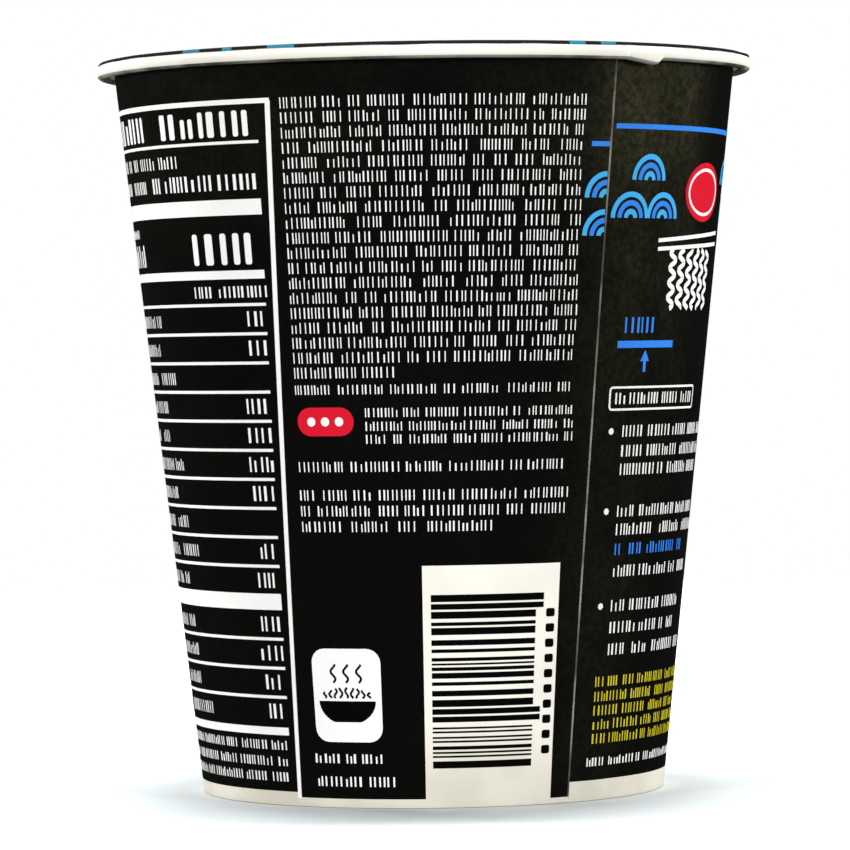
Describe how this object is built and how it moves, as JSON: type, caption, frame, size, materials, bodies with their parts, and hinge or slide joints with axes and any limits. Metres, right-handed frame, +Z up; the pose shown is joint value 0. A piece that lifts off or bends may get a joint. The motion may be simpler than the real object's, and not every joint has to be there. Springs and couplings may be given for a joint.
{
  "type": "instant noodle cup",
  "caption": "Shut instant noodle cup: tapered printed paper cup with a rolled rim, lapped side seam and recessed foot, sealed by a peel lid with a pull tab.",
  "frame": {"origin": "centre of the foot ring, on the plane that the cup stands on", "axes": "+Z up along the cup's axis; -Y towards the panel with the table of figures, +X to its right"},
  "size_m": [0.096, 0.096, 0.1067],
  "materials": {
    "printed_board": "semi-gloss black print on coated paper board",
    "lid_film": "semi-gloss black print on a foil-backed paper lid",
    "bare_board": "unprinted cream paper board with a thin coating",
    "ink_white": "white of the print",
    "ink_blue": "bright blue of the print",
    "ink_yellow": "yellow of the print",
    "ink_red": "red of the print"
  },
  "bodies": {
    "root": {"cup": "printed_board", "lid": "lid_film"}
  },
  "joints": []
}
